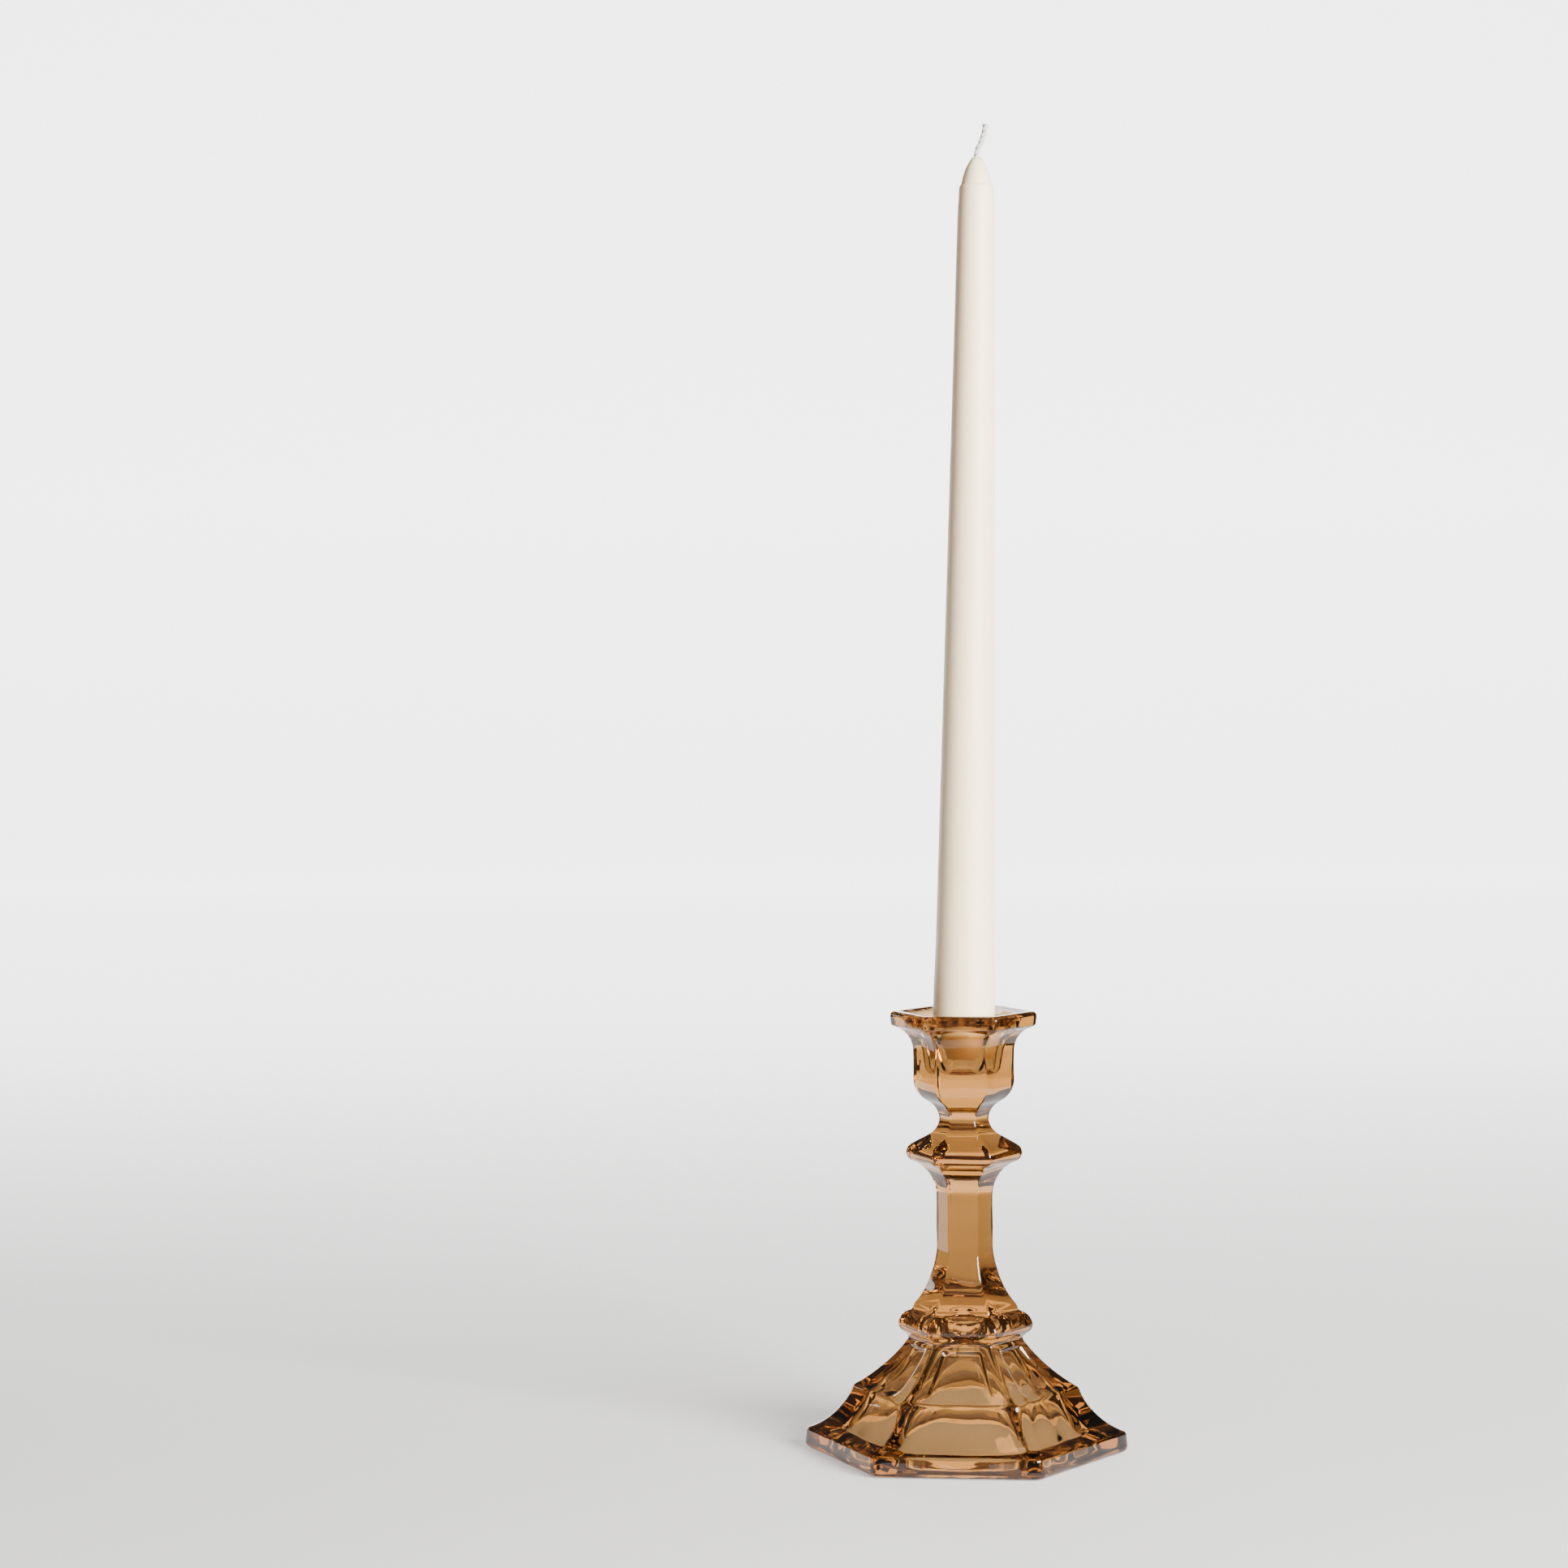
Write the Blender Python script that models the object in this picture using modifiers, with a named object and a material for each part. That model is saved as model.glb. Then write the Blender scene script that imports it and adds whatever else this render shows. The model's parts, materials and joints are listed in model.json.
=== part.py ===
"""Pressed amber glass candlestick with a taper candle standing in its socket.

Units are metres and Z is up.  The foot rests on z = 0 and the axis of the candlestick
is the Z axis.  The candlestick is hexagonal: a flat faces each of +Y and -Y, a corner
points along each of +X and -X.  Radii of the glass are measured to the corners.
"""
from math import cos, radians, sin, tan

import bmesh
import bpy
from mathutils import Matrix, Vector

OBJECT_NAME = "glass_candlestick_with_taper"
SECTORS = 6
HALF_SECTOR = radians(30)

# Glass stations, (corner radius, height), from the resting face to the rim.
FOOT_UNDER = (0.0529, 0.0)
FOOT_LOW = (0.0550, 0.0021)
FOOT_HIGH = (0.0546, 0.0063)
BAND_TOP = (0.0534, 0.0073)
SHOULDER_LOW = (0.0391, 0.0205)
SHOULDER_HIGH = (0.0382, 0.0222)
WAIST_LOW = (0.0198, 0.0378)
WAIST = (0.0196, 0.0391)
BEAD_LOW = (0.0213, 0.0405)
BEAD_MIDDLE = (0.0230, 0.0433)
BEAD_HIGH = (0.0185, 0.0479)
COLLAR = (0.0178, 0.0491)
COLLAR_TOP = (0.0174, 0.0502)
STEM_LOW = (0.0096, 0.0695)
STEM_HIGH = (0.0096, 0.0870)
KNOP_LOW = (0.0181, 0.0991)
KNOP_HIGH = (0.0181, 0.1047)
KNOP_SLOPE = (0.0126, 0.1077)
NECK = (0.0084, 0.1133)
CUP_UNDER = (0.0124, 0.1194)
CUP_LOW = (0.0172, 0.1262)
CUP_HIGH = (0.0172, 0.1365)
RIM_UNDER = (0.0212, 0.1438)
RIM_LOW = (0.0243, 0.1450)
RIM_SIDE = (0.0248, 0.1459)
RIM_HIGH = (0.0251, 0.1484)
RIM_TOP = (0.0236, 0.1500)

# Dished top of the rim and the round socket for the candle.
DISH_EDGE = (0.0226, 0.1500)
DISH_LOW = (0.0140, 0.1474)
SOCKET_MOUTH = (0.0122, 0.1450)
SOCKET_LOW = (0.0085, 0.1313)
SOCKET_FLOOR = (0.0063, 0.1290)

# Hollow under the foot: six-sided at the resting face, round at its domed top.
HOLLOW_MOUTH = (0.0375, 0.0)
HOLLOW_LIP = (0.0360, 0.0012)
HOLLOW_CONE = (0.0100, 0.0400)
HOLLOW_DOME = (0.0012, 0.0462)
HOLLOW_ROUNDING = 0.0140
HOLLOW_SIX_SIDED = 0.0300
HOLLOW_ROUND = 0.0420

# Rounding of the upright corners: a base value that grows on the wider sections.
CORNER_ROUNDING = 0.0012
ROUNDING_GROWTH = 0.08
ROUNDING_START = 0.020

# Sunken panel on each face of the foot, between the ribs at the corners.
PANEL_DEPTH = 0.0012
PANEL_BOTTOM = 0.0228
PANEL_TOP = 0.0366
RIB_EDGE = radians(8.2)
PANEL_EDGE = radians(11.0)

# Taper candle: (radius, height) before it is leaned.
CANDLE_FOOT = (0.0089, 0.1343)
CANDLE_BUTT = (0.0105, 0.1402)
CANDLE_BUTT_TOP = (0.0105, 0.1560)
CANDLE_LOWER = (0.0100, 0.1720)
CANDLE_UPPER = (0.0062, 0.4210)
CANDLE_NECK = (0.00575, 0.4291)
TIP_BASE = (0.0051, 0.4297)
TIP_TOP = (0.0018, 0.4388)
WICK_BORE = 0.0013
CANDLE_STEPS = 32
CANDLE_LEAN = radians(1.22)
LEAN_HEIGHT = 0.1390

# Braided cotton wick along the middle of the candle, bent over above the tip.
WICK_RADIUS = 0.0010
WICK_FOOT = 0.1346
WICK_STRAIGHT = 0.4391
WICK_BEND = (0.0014, 0.4436)
WICK_END = (0.0029, 0.4501)


def clear_scene():
    """Start from an empty scene."""
    for item in list(bpy.data.objects):
        bpy.data.objects.remove(item, do_unlink=True)


def make_collection():
    """Collection that carries every piece of the object."""
    group = bpy.data.collections.new(OBJECT_NAME)
    bpy.context.scene.collection.children.link(group)
    return group


def make_material(name, colour, roughness, metallic=0.0):
    """Plain surface for one piece."""
    material = bpy.data.materials.new(name)
    material.use_nodes = True
    shader = material.node_tree.nodes["Principled BSDF"]
    shader.inputs["Base Color"].default_value = (*colour, 1.0)
    shader.inputs["Roughness"].default_value = roughness
    shader.inputs["Metallic"].default_value = metallic
    material.diffuse_color = (*colour, 1.0)
    return material


def amber_glass():
    """Brown amber pressed glass."""
    return make_material("amber_glass", (0.52, 0.28, 0.10), 0.05)


def ivory_wax():
    """Smooth ivory candle wax."""
    return make_material("ivory_wax", (0.86, 0.78, 0.66), 0.45)


def white_cotton():
    """Unburnt cotton of the wick."""
    return make_material("white_cotton", (0.80, 0.78, 0.75), 0.90)


def arc(start, end, sweep, steps):
    """Points after start along a circular arc to end; positive sweep turns left."""
    if abs(sweep) < 1e-6:
        share = [(i + 1) / steps for i in range(steps)]
        return [(start[0] + (end[0] - start[0]) * t, start[1] + (end[1] - start[1]) * t) for t in share]
    half = radians(sweep) / 2
    first = Vector(start)
    last = Vector(end)
    chord = last - first
    side = Vector((-chord.y, chord.x))
    centre = (first + last) / 2 + side / (2 * tan(half))
    points = []
    for i in range(1, steps + 1):
        turn = 2 * half * i / steps
        spoke = first - centre
        x = centre.x + spoke.x * cos(turn) - spoke.y * sin(turn)
        z = centre.y + spoke.x * sin(turn) + spoke.y * cos(turn)
        points.append((x, z))
    return points


def chain(start, runs):
    """Join arcs end to end; each run is (end, sweep in degrees, steps)."""
    points = [start]
    for end, sweep, steps in runs:
        points += arc(points[-1], end, sweep, steps)
    return points


def outside_profile():
    """Corner profile of the outside, from the resting face up to the dished rim."""
    foot = [
        (FOOT_LOW, 90, 3),
        (FOOT_HIGH, 0, 1),
        (BAND_TOP, 75, 2),
        (SHOULDER_LOW, -46, 5),
        (SHOULDER_HIGH, 40, 2),
        (WAIST_LOW, -25, 7),
        (WAIST, -60, 2),
        (BEAD_LOW, -8, 1),
        (BEAD_MIDDLE, 60, 3),
        (BEAD_HIGH, 72, 4),
        (COLLAR, -20, 1),
        (COLLAR_TOP, 30, 2),
    ]
    stem = [
        (STEM_LOW, -36, 7),
        (STEM_HIGH, 0, 1),
        (KNOP_LOW, -74, 6),
        (KNOP_HIGH, 125, 6),
        (KNOP_SLOPE, 0, 1),
        (NECK, -62, 5),
    ]
    cup = [
        (CUP_UNDER, -61, 5),
        (CUP_LOW, 58, 5),
        (CUP_HIGH, 0, 1),
        (RIM_UNDER, -62, 6),
        (RIM_LOW, -5, 1),
        (RIM_SIDE, 55, 2),
        (RIM_HIGH, 0, 1),
        (RIM_TOP, 85, 3),
    ]
    return chain(FOOT_UNDER, foot + stem + cup)


def socket_profile():
    """Dished rim top and the round socket, from the rim in to the socket floor."""
    runs = [
        (DISH_LOW, 10, 2),
        (SOCKET_MOUTH, 40, 3),
        (SOCKET_LOW, 0, 1),
        (SOCKET_FLOOR, -60, 3),
    ]
    return chain(DISH_EDGE, runs)


def hollow_profile():
    """Hollow of the foot, from its domed top down to the resting face."""
    runs = [
        (HOLLOW_CONE, -62, 5),
        (HOLLOW_LIP, 0, 5),
        (HOLLOW_MOUTH, 40, 2),
    ]
    return chain(HOLLOW_DOME, runs)


def hollow_rounding(radius, height):
    """Corner radius inside the foot, six-sided low down and fully round at the dome."""
    share = (height - HOLLOW_SIX_SIDED) / (HOLLOW_ROUND - HOLLOW_SIX_SIDED)
    share = min(1.0, max(0.0, share))
    rounding = min(radius, HOLLOW_ROUNDING)
    return rounding + (radius - rounding) * share


def outside_rounding(radius):
    """Radius of the rounded upright corners on a section of the outside."""
    return CORNER_ROUNDING + ROUNDING_GROWTH * max(0.0, radius - ROUNDING_START)


def polar_radius(angle, radius, rounding):
    """Distance to the outline of a rounded hexagon, angle measured from a corner."""
    flat = (radius + rounding * (1 / cos(HALF_SECTOR) - 1)) * cos(HALF_SECTOR)
    centre = (flat - rounding) / cos(HALF_SECTOR)
    on_flat = flat / cos(HALF_SECTOR - abs(angle))
    touch = Vector((centre + rounding * cos(HALF_SECTOR), rounding * sin(HALF_SECTOR)))
    if abs(angle) > touch.angle(Vector((1.0, 0.0))):
        return on_flat
    return centre * cos(angle) + max(0.0, rounding ** 2 - (centre * sin(angle)) ** 2) ** 0.5


def corner_angle(radius, rounding):
    """Angle from a corner at which its rounding meets the flat."""
    flat = (radius + rounding * (1 / cos(HALF_SECTOR) - 1)) * cos(HALF_SECTOR)
    centre = (flat - rounding) / cos(HALF_SECTOR)
    touch = Vector((centre + rounding * cos(HALF_SECTOR), rounding * sin(HALF_SECTOR)))
    return touch.angle(Vector((1.0, 0.0)))


def sector_angles(radius, rounding, spread):
    """Seven angles about a corner, drawn together on the outside, evenly spread when round."""
    near = corner_angle(radius, rounding)
    crowded = [0.0, min(near, 0.7 * RIB_EDGE), RIB_EDGE, PANEL_EDGE]
    even = [radians(60) * j / 7 for j in range(4)]
    half = [a + (b - a) * spread for a, b in zip(crowded, even)]
    return [-a for a in reversed(half[1:])] + half


def section(radius, height, rounding, recess, spread):
    """One closed ring of the glass; recess sinks the middle of every flat."""
    angles = sector_angles(radius, rounding, spread)
    ring = []
    for sector in range(SECTORS):
        turn = 2 * HALF_SECTOR * sector
        for index, angle in enumerate(angles):
            reach = polar_radius(angle, radius, rounding)
            if index in (0, len(angles) - 1):
                reach -= recess / cos(HALF_SECTOR - abs(angle))
            ring.append((reach * cos(turn + angle), reach * sin(turn + angle), height))
    return ring


def panel_recess(height, rising):
    """Depth of the face panels at a height on the upper part of the foot."""
    inside = PANEL_BOTTOM < height < PANEL_TOP
    return PANEL_DEPTH if inside and rising else 0.0


def glass_rings():
    """Rings over the whole skin of the glass: hollow, outside, dish and socket."""
    rings = []
    for radius, height in hollow_profile():
        rings.append(section(radius, height, hollow_rounding(radius, height), 0.0, 1.0))
    for radius, height in outside_profile():
        recess = panel_recess(height, radius < SHOULDER_HIGH[0])
        rings.append(section(radius, height, outside_rounding(radius), recess, 0.0))
    for radius, height in socket_profile():
        share = max(0.0, (radius - DISH_LOW[0]) / (DISH_EDGE[0] - DISH_LOW[0]))
        rounding = radius + (outside_rounding(radius) - radius) * share
        rings.append(section(radius, height, rounding, 0.0, 1.0 - share))
    return rings


def skin(name, rings):
    """Closed body through a stack of matching rings, capped at both ends."""
    mesh = bpy.data.meshes.new(name)
    shape = bmesh.new()
    loops = [[shape.verts.new(point) for point in ring] for ring in rings]
    for lower, upper in zip(loops, loops[1:]):
        for i in range(len(lower)):
            j = (i + 1) % len(lower)
            shape.faces.new((lower[i], lower[j], upper[j], upper[i]))
    shape.faces.new(list(reversed(loops[0])))
    shape.faces.new(loops[-1])
    bmesh.ops.recalc_face_normals(shape, faces=shape.faces)
    shape.to_mesh(mesh)
    shape.free()
    return mesh


def add_piece(name, data, material, group):
    """Place one named piece in the object's collection."""
    piece = bpy.data.objects.new(name, data)
    group.objects.link(piece)
    piece.data.materials.append(material)
    return piece


def build_glass(group):
    """The candlestick itself, one solid pressing."""
    mesh = skin("glass_candlestick", glass_rings())
    add_piece("glass_candlestick", mesh, amber_glass(), group)


def candle_profile():
    """Half section of the candle as a closed loop, down the outside and up the bore."""
    runs = [
        (TIP_BASE, -28, 4),
        (CANDLE_NECK, 0, 1),
        (CANDLE_UPPER, 0, 1),
        (CANDLE_LOWER, 0, 4),
        (CANDLE_BUTT_TOP, 0, 1),
        (CANDLE_BUTT, 0, 1),
        (CANDLE_FOOT, 0, 1),
        ((WICK_BORE, CANDLE_FOOT[1]), 0, 1),
        ((WICK_BORE, TIP_TOP[1]), 0, 1),
    ]
    return chain(TIP_TOP, runs)


def leaning(point):
    """Where a point of the upright candle lies once the candle leans towards +X."""
    pivot = Vector((0.0, 0.0, LEAN_HEIGHT))
    return pivot + Matrix.Rotation(CANDLE_LEAN, 3, "Y") @ (Vector(point) - pivot)


def closed_loop(name, loop):
    """Closed outline in the plane of X and Z, ready to be turned about Z."""
    mesh = bpy.data.meshes.new(name)
    edges = [(i, (i + 1) % len(loop)) for i in range(len(loop))]
    mesh.from_pydata([(x, 0.0, z) for x, z in loop], edges, [])
    return mesh


def build_candle(group):
    """Taper candle with a bore for its wick, leaning slightly in the socket."""
    mesh = closed_loop("taper_candle", candle_profile())
    candle = add_piece("taper_candle", mesh, ivory_wax(), group)
    screw = candle.modifiers.new("turn", "SCREW")
    screw.axis = "Z"
    screw.angle = radians(360)
    screw.steps = CANDLE_STEPS
    screw.render_steps = CANDLE_STEPS
    screw.use_merge_vertices = True
    screw.merge_threshold = 0.00001
    screw.use_normal_calculate = True
    screw.use_smooth_shade = True
    pivot = Matrix.Translation((0.0, 0.0, LEAN_HEIGHT))
    lean = Matrix.Rotation(CANDLE_LEAN, 4, "Y")
    candle.matrix_world = pivot @ lean @ pivot.inverted()


def build_wick(group):
    """Round cotton wick down the bore, bent over where it leaves the wax."""
    path = [(0.0, WICK_FOOT), (0.0, WICK_STRAIGHT)]
    path += arc(path[-1], WICK_BEND, -30, 3)
    path += arc(path[-1], WICK_END, 18, 3)
    curve = bpy.data.curves.new("candle_wick", "CURVE")
    curve.dimensions = "3D"
    curve.bevel_depth = WICK_RADIUS
    curve.bevel_resolution = 2
    curve.use_fill_caps = True
    strand = curve.splines.new("POLY")
    strand.points.add(len(path) - 1)
    for knot, (x, z) in zip(strand.points, path):
        knot.co = (*leaning((x, 0.0, z)), 1.0)
    add_piece("candle_wick", curve, white_cotton(), group)


def main():
    """Build every piece."""
    clear_scene()
    group = make_collection()
    build_glass(group)
    build_candle(group)
    build_wick(group)


main()
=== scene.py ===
"""Looks of the amber glass candlestick with its taper candle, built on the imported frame."""

import json
from math import cos, pi, radians, sin, tan

import bmesh
import bpy
import numpy as np
from mathutils import Euler, Matrix, Vector

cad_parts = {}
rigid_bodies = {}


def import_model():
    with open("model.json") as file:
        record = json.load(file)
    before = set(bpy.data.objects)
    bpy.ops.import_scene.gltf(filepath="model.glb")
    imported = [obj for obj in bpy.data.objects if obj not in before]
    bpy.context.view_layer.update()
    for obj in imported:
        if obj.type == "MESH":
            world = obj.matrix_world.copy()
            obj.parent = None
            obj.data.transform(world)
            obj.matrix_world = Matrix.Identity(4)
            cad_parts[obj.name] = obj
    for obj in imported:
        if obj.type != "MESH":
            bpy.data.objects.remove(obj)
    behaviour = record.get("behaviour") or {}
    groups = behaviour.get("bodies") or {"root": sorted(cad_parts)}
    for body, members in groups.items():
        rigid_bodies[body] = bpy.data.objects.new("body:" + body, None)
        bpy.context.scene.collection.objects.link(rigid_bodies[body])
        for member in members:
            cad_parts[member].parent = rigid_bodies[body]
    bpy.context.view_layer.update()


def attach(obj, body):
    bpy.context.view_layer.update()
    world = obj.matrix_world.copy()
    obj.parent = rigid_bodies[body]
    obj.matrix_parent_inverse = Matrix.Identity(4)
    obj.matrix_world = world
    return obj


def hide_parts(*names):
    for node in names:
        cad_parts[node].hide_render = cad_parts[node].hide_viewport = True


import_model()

# ---------------------------------------------------------------- the glass, metres
# Points of the profile are (distance from the axis to a corner, height).
FOOT_UNDER = (0.0529, 0.0)
FOOT_LOW = (0.0550, 0.0021)
FOOT_HIGH = (0.0546, 0.0063)
BAND_TOP = (0.0534, 0.0073)
SHOULDER_LOW = (0.0391, 0.0205)
SHOULDER_HIGH = (0.0382, 0.0222)
WAIST_LOW = (0.0198, 0.0378)
WAIST = (0.0196, 0.0391)
BEAD_LOW = (0.0213, 0.0405)
BEAD_MIDDLE = (0.0230, 0.0433)
BEAD_HIGH = (0.0185, 0.0479)
COLLAR = (0.0178, 0.0491)
COLLAR_TOP = (0.0174, 0.0502)
STEM_LOW = (0.0096, 0.0695)
STEM_HIGH = (0.0096, 0.0870)
KNOP_LOW = (0.0181, 0.0991)
KNOP_HIGH = (0.0181, 0.1047)
KNOP_SLOPE = (0.0126, 0.1077)
NECK = (0.0084, 0.1133)
CUP_UNDER = (0.0124, 0.1194)
CUP_LOW = (0.0172, 0.1262)
CUP_HIGH = (0.0172, 0.1365)
RIM_UNDER = (0.0212, 0.1438)
RIM_LOW = (0.0243, 0.1450)
RIM_SIDE = (0.0248, 0.1459)
RIM_HIGH = (0.0251, 0.1484)
RIM_TOP = (0.0236, 0.1500)

DISH_EDGE = (0.0226, 0.1500)
DISH_LOW = (0.0140, 0.1474)
SOCKET_MOUTH = (0.0122, 0.1450)
SOCKET_LOW = (0.0085, 0.1313)
SOCKET_FLOOR = (0.0063, 0.1290)

HOLLOW_MOUTH = (0.0375, 0.0)
HOLLOW_LIP = (0.0360, 0.0012)
HOLLOW_CONE = (0.0100, 0.0400)
HOLLOW_DOME = (0.0004, 0.0462)
HOLLOW_ROUNDING = 0.0140
HOLLOW_SIX_SIDED = 0.0300
HOLLOW_ROUND = 0.0420

CORNER_ROUNDING = 0.0012
ROUNDING_GROWTH = 0.08
ROUNDING_START = 0.020

PANEL_DEPTH = 0.0012
PANEL_BOTTOM = 0.0228
PANEL_TOP = 0.0366
PANEL_SIDE = radians(20.6)
PANEL_CORNER = 0.0032
PANEL_WALL = 0.0011

HALF_SECTOR = radians(30)
POLISH = 0.00030
OUTSIDE_RIPPLE = 0.00005
HOLLOW_RIPPLE = 0.00020
PROFILE_STEP = 0.00005
ARC_STEPS = 24
# Angles from a corner in degrees: each span's start, end and count of points.
TURN_SPANS = ((0, 4.4, 11), (4.4, 7.6, 4), (7.6, 11.6, 11), (11.6, 30, 10))
FOOT_SLOPE = (0.0195, 0.0389)
SOCKET_CENTRE = 0.0004

# ---------------------------------------------------------------- the candle, metres
# Points of the profile are (radius, height) before the candle is leaned over.
TIP_TOP = (0.0016, 0.4388)
TIP_BASE = (0.0051, 0.4297)
CANDLE_NECK = (0.00575, 0.4291)
CANDLE_UPPER = (0.0062, 0.4210)
CANDLE_LOWER = (0.0100, 0.1720)
CANDLE_BUTT_TOP = (0.0105, 0.1560)
CANDLE_BUTT = (0.0105, 0.1402)
CANDLE_FOOT = (0.0089, 0.1343)
CANDLE_SIDES = 96
BORE = 0.00125
BORE_STEP = 0.02
LEAN = radians(1.22)
LEAN_HEIGHT = 0.1390

WICK_FOOT = 0.1346
WICK_STRAIGHT = 0.4391
WICK_BEND = (0.0014, 0.4436)
WICK_END = (0.0029, 0.4501)
WICK_ARC_STEPS = 12
WICK_STEP = 0.0004
STRANDS = 3
STRAND_SIDES = 12
STRAND_OFFSET = 0.00050
STRAND_RADIUS = 0.00056
STRAND_LAY = 0.0062
FRAY_LENGTH = 0.0016
FRAY_GROWTH = 0.18

# ---------------------------------------------------------------- colours
STAIN_DARK = (0.352, 0.174, 0.044)
STAIN_LIGHT = (0.372, 0.188, 0.050)
BODY_TINT = (0.80, 0.62, 0.42)
BODY_DENSITY = 36.0
GLASS_IOR = 1.51
# Each bump is (noise scale, noise detail, strength, distance).
GLASS_MOTTLE = 30
GLASS_BUMP = (90, 2.0, 0.12, 0.0006)
WAX_DARK = (0.90, 0.745, 0.50)
WAX_LIGHT = (0.93, 0.785, 0.55)
WAX_MOTTLE = 45
WAX_ROUGHNESS = (0.36, 0.5)
WAX_SATIN = 160
WAX_BUMP = (220, 3.0, 0.10, 0.0003)
WAX_BUMP_STRETCH = (1, 1, 0.35)
WAX_SCATTER = (1.0, 0.6, 0.35)
WAX_DEPTH = 0.004
WAX_IOR = 1.44
COTTON_DARK = (0.42, 0.40, 0.40)
COTTON_LIGHT = (0.74, 0.72, 0.71)
COTTON_BUMP = (2600, 2.0, 0.5, 0.0002)
COTTON_STRETCH = (1, 1, 0.25)
STAGE_DARK = (0.60, 0.60, 0.60)
STAGE_LIGHT = (0.62, 0.62, 0.62)

# ---------------------------------------------------------------- the studio
# Each glow and room end is (position along Y, strength).
STAGE_GLOW = ((-0.1, 0.50), (1.75, 3.4))
STAGE_NEAR = 0.236
STAGE_LEFT_MARGIN = 0.07
STAGE_WIDENING = 0.222
STAGE_FLARE = 0.5
STAGE_FLARING = 0.9
STAGE_DROP = 0.0003
STAGE_FRONT = -0.22
STAGE_BACK = 3.9
STAGE_CURVE = 0.5
STAGE_CURVE_STEPS = 14
STAGE_TOP = 1.22
STAGE_ROWS = (0.3, 1.0, 2.0)
SHEET_HALF_WIDTH = 0.6
SHEET_TOP = 3.6
ROOM_FRONT = (-0.6, 0.35)
ROOM_BACK = (0.0, 0.10)
ROOM_COLOUR = (1.0, 0.86, 0.74, 1)

KEY_PLACE = (1.15, -1.15, 0.60)
KEY_TARGET = (0, 0, 0.28)
KEY_SIZE = (1.0, 0.9)
KEY_POWER = 170
KEY_COLOUR = (1, 0.98, 0.95)

CAMERA_PLACE = (0.08016, -1.25335, 0.26658)
CAMERA_TURN = radians(6.415)
CAMERA_DIP = 1.774
CAMERA_ROLL = radians(-0.457)
CAMERA_LENS = 84.87
CAMERA_SENSOR = 36.0


# ---------------------------------------------------------------- profile helpers
def arc(start, end, sweep, steps):
    """Points after start along a circular arc to end; positive sweep turns left."""
    if abs(sweep) < 1e-6:
        return [tuple(Vector(start).lerp(Vector(end), (i + 1) / steps)) for i in range(steps)]
    half = radians(sweep) / 2
    first, last = Vector(start), Vector(end)
    chord = last - first
    centre = (first + last) / 2 + Vector((-chord.y, chord.x)) / (2 * tan(half))
    spoke = first - centre
    points = []
    for i in range(1, steps + 1):
        turn = 2 * half * i / steps
        points.append((centre.x + spoke.x * cos(turn) - spoke.y * sin(turn),
                       centre.y + spoke.x * sin(turn) + spoke.y * cos(turn)))
    return points


def chain(start, runs):
    """Join arcs end to end; each run is (end, sweep in degrees)."""
    points = [start]
    for end, sweep in runs:
        points += arc(points[-1], end, sweep, ARC_STEPS)
    return np.array(points)


def resample(points, step):
    """Points at an even spacing along a polyline."""
    length = np.concatenate([[0], np.cumsum(np.linalg.norm(np.diff(points, axis=0), axis=1))])
    count = max(2, int(round(length[-1] / step)) + 1)
    at = np.linspace(0, length[-1], count)
    return np.stack([np.interp(at, length, points[:, k]) for k in range(points.shape[1])], axis=1)


def polish(points, width, step):
    """Soften the corners of an evenly spaced profile, as fire polishing does."""
    reach = int(3 * width / step)
    kernel = np.exp(-0.5 * (np.arange(-reach, reach + 1) * step / width) ** 2)
    kernel /= kernel.sum()
    head = 2 * points[0] - points[reach:0:-1]
    tail = 2 * points[-1] - points[-2:-reach - 2:-1]
    padded = np.vstack([head, points, tail])
    soft = [np.convolve(padded[:, k], kernel, mode="valid") for k in range(points.shape[1])]
    return np.stack(soft, axis=1)


def thin_out(points, coarse, bend):
    """Keep few points on straight runs and more where the profile bends."""
    span = np.diff(points, axis=0)
    gap = np.linalg.norm(span, axis=1)
    heading = np.unwrap(np.arctan2(span[:, 1], span[:, 0]))
    turn = np.abs(np.diff(heading, prepend=heading[0]))
    cost = np.concatenate([[0], np.cumsum(gap / coarse + turn / bend)])
    count = int(cost[-1]) + 2
    at = np.linspace(0, cost[-1], count)
    return np.stack([np.interp(at, cost, points[:, k]) for k in range(points.shape[1])], axis=1)


def smooth_run(start, runs, coarse=0.0012, bend=radians(7)):
    """Profile through the runs, polished and sampled for a smooth surface."""
    fine = resample(chain(start, runs), PROFILE_STEP)
    return thin_out(polish(fine, POLISH, PROFILE_STEP), coarse, bend)


# ---------------------------------------------------------------- the glass
def outside_profile():
    """Outside from the resting face up to the top of the rim."""
    return smooth_run(FOOT_UNDER, [
        (FOOT_LOW, 90), (FOOT_HIGH, 0), (BAND_TOP, 75), (SHOULDER_LOW, -46),
        (SHOULDER_HIGH, 40), (WAIST_LOW, -25), (WAIST, -60), (BEAD_LOW, -8),
        (BEAD_MIDDLE, 60), (BEAD_HIGH, 72), (COLLAR, -20), (COLLAR_TOP, 30),
        (STEM_LOW, -36), (STEM_HIGH, 0), (KNOP_LOW, -74), (KNOP_HIGH, 125),
        (KNOP_SLOPE, 0), (NECK, -62), (CUP_UNDER, -61), (CUP_LOW, 58),
        (CUP_HIGH, 0), (RIM_UNDER, -62), (RIM_LOW, -5), (RIM_SIDE, 55),
        (RIM_HIGH, 0), (RIM_TOP, 85)])


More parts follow.
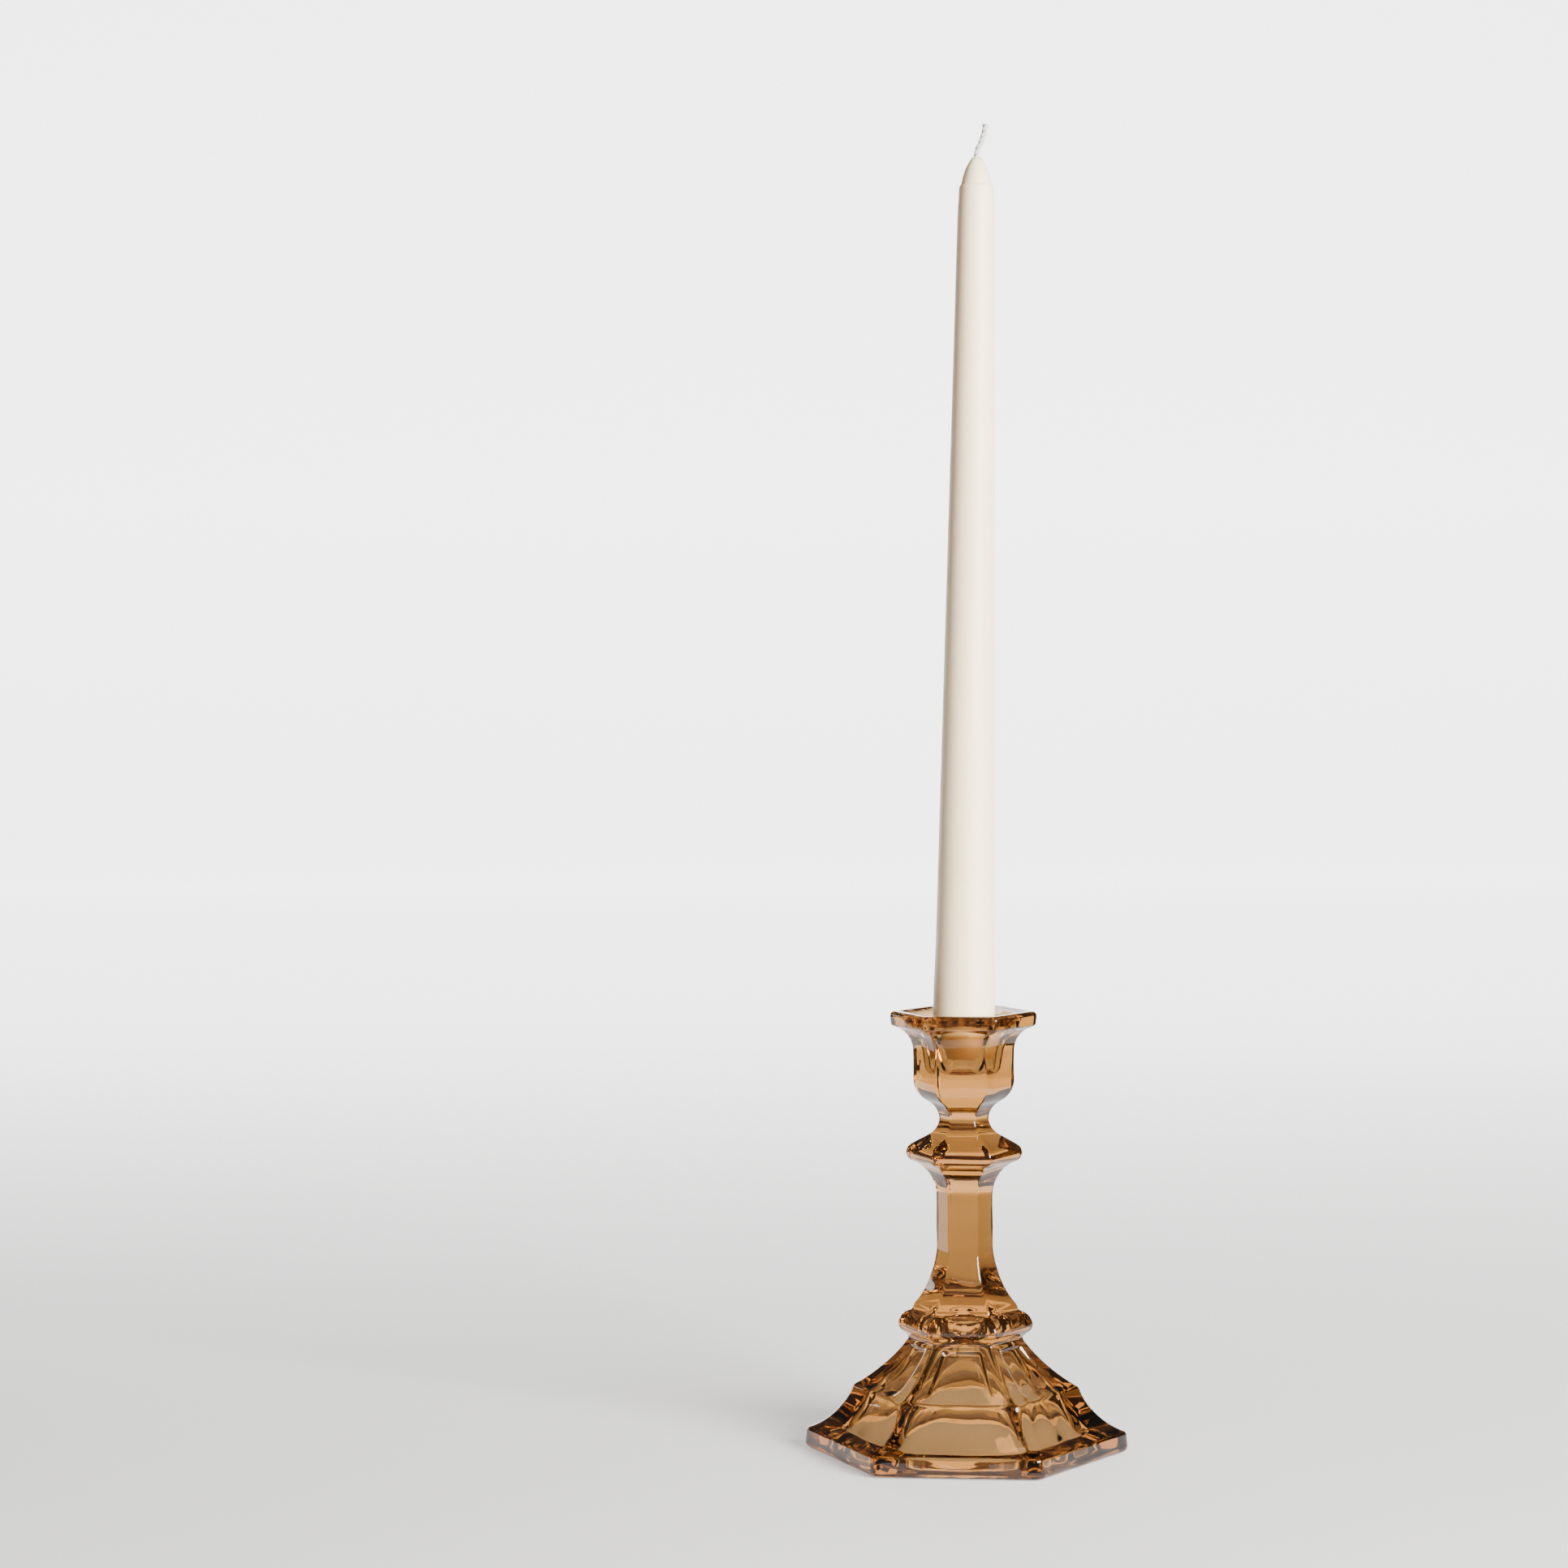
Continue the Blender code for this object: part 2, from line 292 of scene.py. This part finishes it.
def socket_profile():
    """Dished top and round socket, from the rim in to the middle of the socket's floor."""
    return smooth_run(DISH_EDGE, [
        (DISH_LOW, 10), (SOCKET_MOUTH, 40), (SOCKET_LOW, 0), (SOCKET_FLOOR, -60),
        ((SOCKET_CENTRE, SOCKET_FLOOR[1]), 0)])


def hollow_profile():
    """Inside of the foot, from the dome down to the mouth."""
    return smooth_run(HOLLOW_DOME, [
        (HOLLOW_CONE, -62), (HOLLOW_LIP, 0), (HOLLOW_MOUTH, 40)])


def hollow_rounding(radius, height):
    """Corner radius inside the foot, six-sided low down and fully round at the dome."""
    share = np.clip((height - HOLLOW_SIX_SIDED) / (HOLLOW_ROUND - HOLLOW_SIX_SIDED), 0, 1)
    rounding = min(radius, HOLLOW_ROUNDING)
    return rounding + (radius - rounding) * share


def outside_rounding(radius):
    """Corner radius of the outside, a little larger on the wide foot."""
    return CORNER_ROUNDING + ROUNDING_GROWTH * np.maximum(0.0, radius - ROUNDING_START)


def polar_radius(angle, radius, rounding):
    """Distance to a rounded hexagon's outline; angle is measured from the nearest corner."""
    flat = (radius + rounding * (1 / cos(HALF_SECTOR) - 1)) * cos(HALF_SECTOR)
    centre = (flat - rounding) / cos(HALF_SECTOR)
    touch = np.arctan2(rounding * sin(HALF_SECTOR), centre + rounding * cos(HALF_SECTOR))
    on_flat = flat / np.cos(HALF_SECTOR - np.abs(angle))
    inside = np.maximum(0.0, rounding ** 2 - (centre * np.sin(angle)) ** 2)
    on_arc = centre * np.cos(angle) + np.sqrt(inside)
    return np.where(np.abs(angle) > touch, on_flat, on_arc)


def round_turns():
    """Angles about the axis, closest together at the corners and the panel edges."""
    spans = [np.linspace(*span)[:-1] for span in TURN_SPANS]
    half = np.concatenate(spans + [[TURN_SPANS[-1][1]]])
    sector = np.concatenate([-half[:0:-1], half])[1:]
    return np.radians(sector)


def panel_depth(angle, reach, height, along, marks):
    """Depth of the sunken panel at a point of the upper foot."""
    across = reach * np.sin(HALF_SECTOR - np.abs(angle))
    out = reach * np.cos(HALF_SECTOR - np.abs(angle))
    side = (out * tan(PANEL_SIDE) - across) * cos(PANEL_SIDE)
    low = along - marks[0]
    high = marks[1] - along
    r = PANEL_CORNER
    corner = r - np.sqrt(np.maximum(0, r - side) ** 2 + np.maximum(0, r - low) ** 2)
    inside = np.where((side < r) & (low < r), corner, np.minimum(side, low))
    inside = np.minimum(inside, high)
    t = np.clip(inside / PANEL_WALL, 0, 1)
    return PANEL_DEPTH * t * t * (3 - 2 * t)


def waviness(x, y, z):
    """Slow unevenness of a pressed surface, about -3 to 3."""
    wave = np.sin(2 * pi * (52 * x + 31 * z))
    wave = wave + np.sin(2 * pi * (64 * z - 43 * y + 0.3))
    return wave + np.sin(2 * pi * (71 * y + 38 * x - 26 * z + 0.6))


def glass_rings():
    """Rings from the dome of the hollow to the socket's floor, and how stained each point is."""
    turns = round_turns()
    base = np.tile(turns, 6)
    whole = base + np.repeat(np.arange(6) * 2 * HALF_SECTOR, len(turns))
    rings, stain = [], []

    def put(reach, height, stained, ripple=0.0):
        reach = reach + ripple * waviness(reach * np.cos(whole), reach * np.sin(whole), height)
        x, y = reach * np.cos(whole), reach * np.sin(whole)
        rings.append(np.stack([x, y, np.full_like(whole, height)], 1))
        stain.append(np.full(len(whole), stained))

    for radius, height in hollow_profile():
        rounding = hollow_rounding(radius, height)
        put(polar_radius(base, radius, rounding), height, 0.0, HOLLOW_RIPPLE)
    outside = outside_profile()
    gaps = np.linalg.norm(np.diff(outside, axis=0), axis=1)
    along = np.concatenate([[0], np.cumsum(gaps)])
    top_of_foot = (outside[:, 1] > FOOT_SLOPE[0]) & (outside[:, 1] < FOOT_SLOPE[1])
    low = np.interp(PANEL_BOTTOM, outside[top_of_foot, 1], along[top_of_foot])
    high = np.interp(PANEL_TOP, outside[top_of_foot, 1], along[top_of_foot])
    for (radius, height), distance in zip(outside, along):
        reach = polar_radius(base, radius, outside_rounding(radius))
        if low <= distance <= high:
            reach = reach - panel_depth(base, reach, height, distance, (low, high))
        put(reach, height, 1.0, OUTSIDE_RIPPLE)
    for radius, height in socket_profile():
        share = np.clip((radius - DISH_LOW[0]) / (DISH_EDGE[0] - DISH_LOW[0]), 0, 1)
        rounding = radius + (outside_rounding(radius) - radius) * share
        put(polar_radius(base, radius, rounding), height, float(share))
    return rings, np.concatenate(stain + [[0.0, 0.0]])


def smooth_mesh(name, verts, faces):
    """Mesh from its points and faces, shaded smooth."""
    mesh = bpy.data.meshes.new(name)
    mesh.from_pydata(verts, [], faces)
    mesh.update()
    mesh.shade_smooth()
    return mesh


def ring_faces(lower, upper, count):
    """Quads between two rings, each given by the number of its first point."""
    i = np.arange(count)
    j = (i + 1) % count
    return np.stack([lower + i, upper + i, upper + j, lower + j], 1).tolist()


def skin(name, rings):
    """Closed smooth body through a stack of matching rings."""
    count = len(rings[0])
    middles = [rings[0].mean(0, keepdims=True), rings[-1].mean(0, keepdims=True)]
    verts = np.vstack(rings + middles)
    faces = []
    for k in range(len(rings) - 1):
        faces += ring_faces(k * count, (k + 1) * count, count)
    first, last = len(verts) - 2, len(verts) - 1
    end = (len(rings) - 1) * count
    faces += [(first, n, (n + 1) % count) for n in range(count)]
    faces += [(last, end + (n + 1) % count, end + n) for n in range(count)]
    return smooth_mesh(name, verts.tolist(), faces)


def add_piece(name, mesh, material, body, node):
    """Put a detailed piece in place of the CAD node it stands for."""
    piece = bpy.data.objects.new(name, mesh)
    bpy.context.scene.collection.objects.link(piece)
    piece.data.materials.append(material)
    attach(piece, body)
    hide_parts(node)


def outward(mesh):
    """Turn the faces to point out of the body."""
    work = bmesh.new()
    work.from_mesh(mesh)
    bmesh.ops.recalc_face_normals(work, faces=work.faces)
    work.to_mesh(mesh)
    work.free()


# ---------------------------------------------------------------- materials
def new_material(name):
    material = bpy.data.materials.new(name)
    material.use_nodes = True
    nodes = material.node_tree.nodes
    return material, nodes, material.node_tree.links, nodes["Principled BSDF"]


def noise(nodes, links, scale, detail=3.0, stretch=(1, 1, 1)):
    """Noise in object space."""
    where = nodes.new("ShaderNodeTexCoord")
    mapping = nodes.new("ShaderNodeMapping")
    mapping.inputs["Scale"].default_value = stretch
    texture = nodes.new("ShaderNodeTexNoise")
    texture.inputs["Scale"].default_value = scale
    texture.inputs["Detail"].default_value = detail
    links.new(where.outputs["Object"], mapping.inputs["Vector"])
    links.new(mapping.outputs["Vector"], texture.inputs["Vector"])
    return texture.outputs["Fac"]


def spread(nodes, links, value, low, high):
    """Map the middle of a noise, 0.3 to 0.7, to a range."""
    node = nodes.new("ShaderNodeMapRange")
    node.inputs["From Min"].default_value = 0.3
    node.inputs["From Max"].default_value = 0.7
    node.inputs["To Min"].default_value = low
    node.inputs["To Max"].default_value = high
    links.new(value, node.inputs["Value"])
    return node.outputs["Result"]


def mix_colours(nodes, links, value, first, second):
    node = nodes.new("ShaderNodeMix")
    node.data_type = "RGBA"
    node.inputs["A"].default_value = (*first, 1)
    node.inputs["B"].default_value = (*second, 1)
    links.new(value, node.inputs["Factor"])
    return node.outputs["Result"]


def bump(nodes, links, shader, height, strength, distance):
    node = nodes.new("ShaderNodeBump")
    node.inputs["Strength"].default_value = strength
    node.inputs["Distance"].default_value = distance
    links.new(height, node.inputs["Height"])
    links.new(node.outputs["Normal"], shader.inputs["Normal"])


def amber_glass():
    """Clear glass with a tinted outside and a weak amber absorption in its body."""
    material, nodes, links, shader = new_material("amber_glass")
    shader.inputs["Transmission Weight"].default_value = 1.0
    shader.inputs["IOR"].default_value = GLASS_IOR
    shader.inputs["Roughness"].default_value = 0.0
    stain = nodes.new("ShaderNodeAttribute")
    stain.attribute_name = "stain"
    mottle = noise(nodes, links, GLASS_MOTTLE)
    amber = mix_colours(nodes, links, mottle, STAIN_DARK, STAIN_LIGHT)
    tint = nodes.new("ShaderNodeMix")
    tint.data_type = "RGBA"
    tint.inputs["A"].default_value = (1, 1, 1, 1)
    links.new(stain.outputs["Fac"], tint.inputs["Factor"])
    links.new(amber, tint.inputs["B"])
    links.new(tint.outputs["Result"], shader.inputs["Base Color"])
    bump(nodes, links, shader, noise(nodes, links, *GLASS_BUMP[:2]), *GLASS_BUMP[2:])
    body = nodes.new("ShaderNodeVolumeAbsorption")
    body.inputs["Color"].default_value = (*BODY_TINT, 1)
    body.inputs["Density"].default_value = BODY_DENSITY
    links.new(body.outputs["Volume"], nodes["Material Output"].inputs["Volume"])
    return material


def ivory_wax():
    """Satin, slightly translucent wax with soft mottling."""
    material, nodes, links, shader = new_material("ivory_wax")
    mottle = noise(nodes, links, WAX_MOTTLE, 4.0)
    colour = mix_colours(nodes, links, mottle, WAX_DARK, WAX_LIGHT)
    links.new(colour, shader.inputs["Base Color"])
    satin = spread(nodes, links, noise(nodes, links, WAX_SATIN, 3.0), *WAX_ROUGHNESS)
    links.new(satin, shader.inputs["Roughness"])
    shader.inputs["Subsurface Weight"].default_value = 0.5
    shader.inputs["Subsurface Radius"].default_value = WAX_SCATTER
    shader.inputs["Subsurface Scale"].default_value = WAX_DEPTH
    shader.inputs["IOR"].default_value = WAX_IOR
    grain = noise(nodes, links, *WAX_BUMP[:2], WAX_BUMP_STRETCH)
    bump(nodes, links, shader, grain, *WAX_BUMP[2:])
    return material


def white_cotton():
    """Matt twisted cotton with fine fibres along the wick."""
    material, nodes, links, shader = new_material("white_cotton")
    fibre = noise(nodes, links, *COTTON_BUMP[:2], COTTON_STRETCH)
    colour = mix_colours(nodes, links, fibre, COTTON_DARK, COTTON_LIGHT)
    links.new(colour, shader.inputs["Base Color"])
    shader.inputs["Roughness"].default_value = 0.9
    shader.inputs["Sheen Weight"].default_value = 0.3
    bump(nodes, links, shader, fibre, *COTTON_BUMP[2:])
    return material


# ---------------------------------------------------------------- the candle
def leaning(points):
    """Lean an upright candle's points towards +X."""
    turn = np.array(Matrix.Rotation(LEAN, 3, "Y"))
    pivot = np.array([0, 0, LEAN_HEIGHT])
    return (np.asarray(points) - pivot) @ turn.T + pivot


def wax_mesh():
    """Turned taper with a bore for its wick."""
    outer = smooth_run(TIP_TOP, [
        (TIP_BASE, -28), (CANDLE_NECK, 0), (CANDLE_UPPER, 0), (CANDLE_LOWER, 0),
        (CANDLE_BUTT_TOP, 0), (CANDLE_BUTT, 0), (CANDLE_FOOT, 0)], coarse=0.006, bend=radians(6))
    inner = resample(np.array([(BORE, CANDLE_FOOT[1]), (BORE, TIP_TOP[1])]), BORE_STEP)
    loop = np.vstack([outer, inner])
    count = CANDLE_SIDES
    angle = np.arange(count) * 2 * pi / count
    x, y = np.cos(angle), np.sin(angle)
    rings = [np.stack([r * x, r * y, np.full(count, z)], 1) for r, z in loop]
    verts = leaning(np.vstack(rings))
    faces = []
    for k in range(len(rings)):
        faces += ring_faces(k * count, ((k + 1) % len(rings)) * count, count)
    return smooth_mesh("wax_taper", verts.tolist(), faces)


def wick_path():
    """Middle line of the wick, bent over above the tip."""
    path = [(0.0, WICK_FOOT), (0.0, WICK_STRAIGHT)]
    path += arc(path[-1], WICK_BEND, -30, WICK_ARC_STEPS)
    path += arc(path[-1], WICK_END, 18, WICK_ARC_STEPS)
    points = resample(np.array(path), WICK_STEP)
    return np.stack([points[:, 0], np.zeros(len(points)), points[:, 1]], 1)


def wick_mesh():
    """Strands twisted about the middle line of the wick, a little frayed at the end."""
    path = wick_path()
    tangent = np.gradient(path, axis=0)
    tangent /= np.linalg.norm(tangent, axis=1, keepdims=True)
    side = np.tile([0.0, 1.0, 0.0], (len(path), 1))
    other = np.cross(tangent, side)
    run = np.concatenate([[0], np.cumsum(np.linalg.norm(np.diff(path, axis=0), axis=1))])
    fray = np.clip((run - (run[-1] - FRAY_LENGTH)) / FRAY_LENGTH, 0, 1)
    width = STRAND_RADIUS * (1 + FRAY_GROWTH * np.sin(fray * pi / 2))
    verts, faces = [], []
    for s in range(STRANDS):
        base = len(verts)
        phase = (2 * pi * s / STRANDS + run * 2 * pi / STRAND_LAY)[:, None]
        centre = path + STRAND_OFFSET * (side * np.cos(phase) + other * np.sin(phase))
        for n in range(len(path)):
            for a in range(STRAND_SIDES):
                t = 2 * pi * a / STRAND_SIDES
                verts.append(centre[n] + width[n] * (side[n] * cos(t) + other[n] * sin(t)))
        for n in range(len(path) - 1):
            for a in range(STRAND_SIDES):
                b = (a + 1) % STRAND_SIDES
                p, q = base + n * STRAND_SIDES, base + (n + 1) * STRAND_SIDES
                faces.append((p + a, p + b, q + b, q + a))
        end = base + (len(path) - 1) * STRAND_SIDES
        faces.append(tuple(base + a for a in reversed(range(STRAND_SIDES))))
        faces.append(tuple(end + a for a in range(STRAND_SIDES)))
    return smooth_mesh("cotton_wick", leaning(np.array(verts)).tolist(), faces)


# ---------------------------------------------------------------- stage
def ramp_along_y(nodes, links, space, first, last):
    """Smooth change with Y between two (position, strength) ends."""
    where = nodes.new("ShaderNodeTexCoord")
    split = nodes.new("ShaderNodeSeparateXYZ")
    ramp = nodes.new("ShaderNodeMapRange")
    ramp.interpolation_type = "SMOOTHSTEP"
    ramp.inputs["From Min"].default_value = first[0]
    ramp.inputs["From Max"].default_value = last[0]
    ramp.inputs["To Min"].default_value = first[1]
    ramp.inputs["To Max"].default_value = last[1]
    links.new(where.outputs[space], split.inputs["Vector"])
    links.new(split.outputs["Y"], ramp.inputs["Value"])
    return ramp.outputs["Result"]


def stage_white():
    """Matt white with a soft glow that grows towards the backdrop."""
    white, nodes, links, shader = new_material("stage_white")
    colour = mix_colours(nodes, links, noise(nodes, links, 2), STAGE_DARK, STAGE_LIGHT)
    links.new(colour, shader.inputs["Base Color"])
    shader.inputs["Roughness"].default_value = 0.9
    shader.inputs["Emission Color"].default_value = (1, 1, 1, 1)
    glow = ramp_along_y(nodes, links, "Object", *STAGE_GLOW)
    links.new(glow, shader.inputs["Emission Strength"])
    return white


def build_stage():
    """Pale table top, narrow at the front, that curves up into a backdrop with a hanging sheet."""
    bend = STAGE_BACK - STAGE_CURVE
    rows = [(y, 0.0) for y in (STAGE_FRONT, *STAGE_ROWS, bend)]
    for t in np.linspace(0.1, pi / 2, STAGE_CURVE_STEPS):
        rows.append((bend + STAGE_CURVE * sin(t), STAGE_CURVE * (1 - cos(t))))
    rows.append((STAGE_BACK, STAGE_TOP))
    verts = []
    for y, z in rows:
        half = STAGE_NEAR + (y - STAGE_FRONT) * STAGE_WIDENING
        half += max(0.0, y - STAGE_FLARE) * STAGE_FLARING
        verts += [(-half - STAGE_LEFT_MARGIN, y, z - STAGE_DROP), (half, y, z - STAGE_DROP)]
    faces = [(2 * k, 2 * k + 1, 2 * k + 3, 2 * k + 2) for k in range(len(rows) - 1)]
    white = stage_white()
    add_stage("sweep", verts, faces, white)
    side = SHEET_HALF_WIDTH
    add_stage("hanging_sheet", [
        (-side, STAGE_BACK, STAGE_TOP), (side, STAGE_BACK, STAGE_TOP),
        (side, STAGE_BACK, SHEET_TOP), (-side, STAGE_BACK, SHEET_TOP)],
        [(0, 1, 2, 3)], white)


def add_stage(name, verts, faces, material):
    """Part of the studio, turned to face the camera."""
    piece = bpy.data.objects.new(name, smooth_mesh(name, verts, faces))
    piece.data.materials.append(material)
    piece.rotation_euler = (0, 0, CAMERA_TURN)
    bpy.context.scene.collection.objects.link(piece)


def build_key_light():
    """Soft rectangular light from the front right."""
    data = bpy.data.lights.new("key", "AREA")
    data.shape = "RECTANGLE"
    data.size, data.size_y = KEY_SIZE
    data.energy = KEY_POWER
    data.color = KEY_COLOUR
    lamp = bpy.data.objects.new("key", data)
    lamp.location = KEY_PLACE
    aim = Vector(KEY_TARGET) - Vector(KEY_PLACE)
    lamp.rotation_euler = aim.to_track_quat("-Z", "Y").to_euler()
    bpy.context.scene.collection.objects.link(lamp)


def build_world():
    """Dim warm room behind the backdrop, paler on the camera's side."""
    world = bpy.data.worlds.new("studio")
    world.use_nodes = True
    nodes, links = world.node_tree.nodes, world.node_tree.links
    strength = ramp_along_y(nodes, links, "Generated", ROOM_FRONT, ROOM_BACK)
    back = nodes["Background"]
    back.inputs["Color"].default_value = ROOM_COLOUR
    links.new(strength, back.inputs["Strength"])
    bpy.context.scene.world = world


def build_camera():
    """Long lens a little above the rim, turned to the left and dipped."""
    data = bpy.data.cameras.new("camera")
    data.sensor_width = CAMERA_SENSOR
    data.lens = CAMERA_LENS
    camera = bpy.data.objects.new("camera", data)
    camera.location = CAMERA_PLACE
    aim = Euler((radians(90 - CAMERA_DIP), 0, CAMERA_TURN), "XYZ").to_matrix()
    roll = Matrix.Rotation(CAMERA_ROLL, 3, "Z")
    camera.rotation_euler = (aim @ roll).to_euler()
    bpy.context.scene.collection.objects.link(camera)
    bpy.context.scene.camera = camera


# ---------------------------------------------------------------- build
for item in [o for o in bpy.data.objects if o.type in ("CAMERA", "LIGHT") or o.name == "Cube"]:
    bpy.data.objects.remove(item)

glass_shape, glass_stain = glass_rings()
glass = skin("pressed_glass", glass_shape)
outward(glass)
glass.attributes.new("stain", "FLOAT", "POINT").data.foreach_set("value", glass_stain)
add_piece("pressed_glass", glass, amber_glass(), "candlestick", "glass_candlestick")
wax = wax_mesh()
outward(wax)
add_piece("wax_taper", wax, ivory_wax(), "candle", "taper_candle")
wick = wick_mesh()
outward(wick)
add_piece("cotton_wick", wick, white_cotton(), "candle", "candle_wick")
build_stage()
build_key_light()
build_world()
build_camera()
